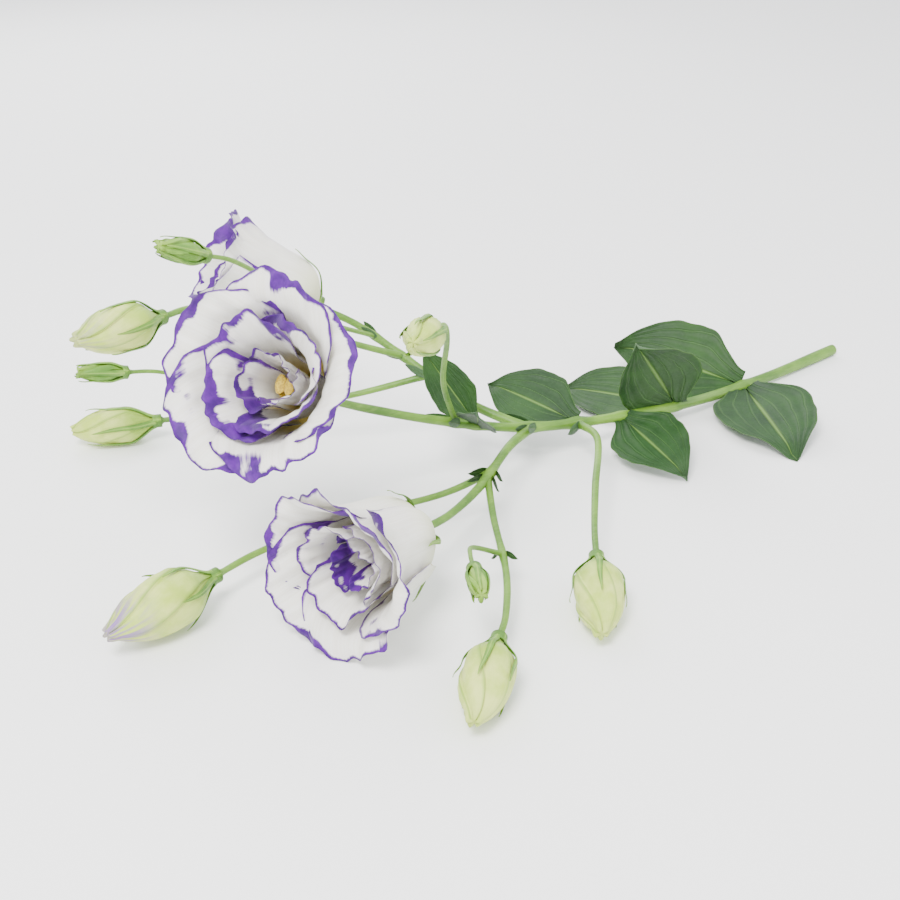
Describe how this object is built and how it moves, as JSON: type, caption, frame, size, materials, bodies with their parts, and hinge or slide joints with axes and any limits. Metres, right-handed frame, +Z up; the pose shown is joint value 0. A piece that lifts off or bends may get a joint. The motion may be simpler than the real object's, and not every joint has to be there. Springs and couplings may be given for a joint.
{
  "type": "lisianthus flower",
  "caption": "Cut lisianthus stem lying down, with open double white flowers edged in violet, cream-green buds and grey-green leaves.",
  "frame": {"origin": "on the surface that the stem lies on, under the middle of its bounding box", "axes": "+X runs along the stem from the flowers to the cut end, +Z is up, away from the surface, and +Y is to the left when looking from the flowers to the cut end"},
  "size_m": [0.3926, 0.2608, 0.1287],
  "materials": {
    "stem_green": "satin fresh green, with a pale waxy bloom",
    "leaf_green": "matte grey-green, with a paler midrib and veins",
    "petal_white_violet": "matte warm white, with an irregular violet edge",
    "sepal_green": "matte yellow-green",
    "bud_cream": "matte pale cream-green",
    "stigma_yellow": "matte yellow"
  },
  "bodies": {
    "root": {"bud_1_calyx": "sepal_green", "bud_1_petals": "bud_cream", "bud_2_calyx": "sepal_green", "bud_2_petals": "bud_cream", "bud_3_calyx": "sepal_green", "bud_3_petals": "bud_cream", "bud_4_calyx": "sepal_green", "bud_4_petals": "bud_cream", "bud_5_calyx": "sepal_green", "bud_5_petals": "bud_cream", "bud_6_calyx": "sepal_green", "bud_6_petals": "bud_cream", "bud_7": "sepal_green", "bud_8": "sepal_green", "bud_9": "sepal_green", "flower_1_calyx": "sepal_green", "flower_1_centre": "stigma_yellow", "flower_1_petal_1": "petal_white_violet", "flower_1_petal_10": "petal_white_violet", "flower_1_petal_11": "petal_white_violet", "flower_1_petal_12": "petal_white_violet", "flower_1_petal_2": "petal_white_violet", "flower_1_petal_3": "petal_white_violet", "flower_1_petal_4": "petal_white_violet", "flower_1_petal_5": "petal_white_violet", "flower_1_petal_6": "petal_white_violet", "flower_1_petal_7": "petal_white_violet", "flower_1_petal_8": "petal_white_violet", "flower_1_petal_9": "petal_white_violet", "flower_2_calyx": "sepal_green", "flower_2_centre": "stigma_yellow", "flower_2_petal_1": "petal_white_violet", "flower_2_petal_10": "petal_white_violet", "flower_2_petal_11": "petal_white_violet", "flower_2_petal_2": "petal_white_violet", "flower_2_petal_3": "petal_white_violet", "flower_2_petal_4": "petal_white_violet", "flower_2_petal_5": "petal_white_violet", "flower_2_petal_6": "petal_white_violet", "flower_2_petal_7": "petal_white_violet", "flower_2_petal_8": "petal_white_violet", "flower_2_petal_9": "petal_white_violet", "flower_3_calyx": "sepal_green", "flower_3_petal_1": "petal_white_violet", "flower_3_petal_2": "petal_white_violet", "flower_3_petal_3": "petal_white_violet", "flower_3_petal_4": "petal_white_violet", "flower_3_petal_5": "petal_white_violet", "flower_3_petal_6": "petal_white_violet", "flower_3_petal_7": "petal_white_violet", "flower_3_petal_8": "petal_white_violet", "leaf_1": "leaf_green", "leaf_2": "leaf_green", "leaf_3": "leaf_green", "leaf_4": "leaf_green", "leaf_5": "leaf_green", "leaf_6": "leaf_green", "leaf_7": "leaf_green", "leaf_8": "leaf_green", "stem": "stem_green"}
  },
  "joints": []
}
